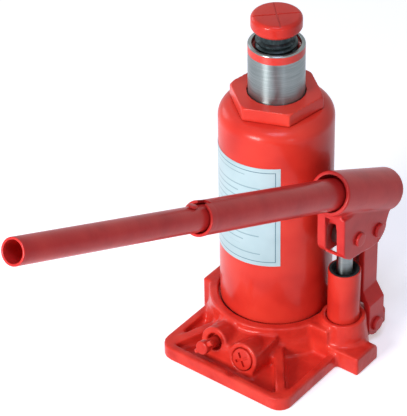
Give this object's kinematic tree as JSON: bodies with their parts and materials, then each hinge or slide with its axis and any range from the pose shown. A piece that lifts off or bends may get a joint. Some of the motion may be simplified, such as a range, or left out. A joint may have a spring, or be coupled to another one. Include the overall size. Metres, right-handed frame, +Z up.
{
  "type": "hydraulic bottle jack",
  "caption": "Hydraulic bottle jack: cast foot with reservoir, lifting ram and extension screw, hand pump on a link, release and overload valves, and a tubular pump handle.",
  "frame": {"origin": "on the ground under the axis of the ram, in the flat underside of the foot", "axes": "+Z up along the ram, +X to the pump, -Y to the valves and the free end of the handle"},
  "size_m": [0.117, 0.3348, 0.2575],
  "materials": {
    "red_enamel": "thick gloss enamel over cast and turned steel",
    "ground_steel": "ground and polished",
    "black_steel": "oiled, black oxide",
    "turned_steel": "turned",
    "red_paint_steel": "red enamel on a turned head, oiled screw below",
    "seal_rubber": "moulded, matt",
    "copper": "soft washer",
    "spring_steel": "drawn wire and ball steel",
    "label_film": "printed film, ruled lines only"
  },
  "bodies": {
    "jack": {"base": "red_enamel", "reservoir_tube": "red_enamel", "tube_gasket": "seal_rubber", "top_nut": "red_enamel", "ram_wiper_seal": "seal_rubber", "pressure_cylinder": "black_steel", "cylinder_gasket": "copper", "pump_cylinder": "red_enamel", "pump_gasket": "copper", "pump_wiper_seal": "seal_rubber", "overload_plug": "red_enamel", "overload_spring": "spring_steel", "overload_ball": "spring_steel", "delivery_spring": "spring_steel", "delivery_retainer": "turned_steel", "filler_plug": "seal_rubber", "label": "label_film", "link_bottom_pin": "red_enamel", "pin_clip_link": "spring_steel"},
    "ram": {"ram": "ground_steel", "piston": "turned_steel", "piston_cup_seal": "seal_rubber"},
    "screw_stop": {"screw_stop_ring": "turned_steel"},
    "screw": {"extension_screw": "red_paint_steel"},
    "plunger": {"pump_plunger": "ground_steel", "plunger_o_ring": "seal_rubber"},
    "link": {"link_plate_near": "red_enamel", "link_plate_far": "red_enamel", "link_top_pin": "red_enamel"},
    "socket": {"handle_socket": "red_enamel", "plunger_pin": "red_enamel", "pin_clips_socket": "spring_steel"},
    "front_handle": {"handle_front_tube": "red_enamel"},
    "rear_handle": {"handle_rear_tube": "red_enamel", "handle_lock_stud": "red_enamel"},
    "release_seat_ball": {"release_ball": "spring_steel"},
    "release_spindle": {"release_valve_screw": "red_enamel", "release_cross_pin": "red_enamel", "release_o_ring": "seal_rubber"},
    "suction_check": {"suction_ball": "spring_steel"},
    "delivery_check": {"delivery_ball": "spring_steel"}
  },
  "joints": [
    {"name": "ram_lift", "type": "slide", "parent": "jack", "child": "ram", "axis": [0, 0, 1], "range_m": [-0.022, 0.085]},
    {"name": "screw_extend", "type": "slide", "parent": "ram", "child": "screw_stop", "axis": [0, 0, 1], "range_m": [-0.0095, 0.0448]},
    {"name": "screw_turn", "type": "hinge", "parent": "screw_stop", "child": "screw", "pos_m": [0, 0, 0.2], "axis": [0, 0, 1], "range_deg": [-860, 4040]},
    {"name": "plunger_stroke", "type": "slide", "parent": "jack", "child": "plunger", "axis": [0, 0, 1], "range_m": [-0.0105, 0.0072]},
    {"name": "link_swing", "type": "hinge", "parent": "jack", "child": "link", "pos_m": [0.0515, 0.0203, 0.012], "axis": [-1, 0, 0], "range_deg": [-1.5, 1.5]},
    {"name": "handle_pump", "type": "hinge", "parent": "link", "child": "socket", "pos_m": [0.0515, 0.0205, 0.084], "axis": [-1, 0, 0], "range_deg": [-30, 20]},
    {"name": "handle_insert", "type": "slide", "parent": "socket", "child": "front_handle", "axis": [0, -0.9085, 0.4179], "range_m": [0, 0.06]},
    {"name": "handle_extend", "type": "slide", "parent": "front_handle", "child": "rear_handle", "axis": [0, -0.9085, 0.4179], "range_m": [0, 0.034]},
    {"name": "release_travel", "type": "slide", "parent": "jack", "child": "release_seat_ball", "axis": [0, -0.9659, 0.2588], "range_m": [0, 0.0026]},
    {"name": "release_turn", "type": "hinge", "parent": "release_seat_ball", "child": "release_spindle", "pos_m": [-0.0045, -0.05865, 0.016], "axis": [0, -0.9659, 0.2588], "range_deg": [0, 720]},
    {"name": "suction_lift", "type": "slide", "parent": "jack", "child": "suction_check", "axis": [0, 0, 1], "range_m": [0, 0.0015]},
    {"name": "delivery_lift", "type": "slide", "parent": "jack", "child": "delivery_check", "axis": [0, 0, 1], "range_m": [0, 0.001], "stiffness_N_per_m": 100, "springref_m": -0.001}
  ],
  "couplings": [
    {"joint": "screw_turn", "follows": "screw_extend", "rad_per_m": 1570.8},
    {"joint": "link_swing", "follows": "handle_pump", "ratio": -0.0417},
    {"joint": "plunger_stroke", "follows": "handle_pump", "m_per_rad": 0.01955},
    {"joint": "release_travel", "follows": "release_turn", "m_per_rad": 0.00019894}
  ]
}
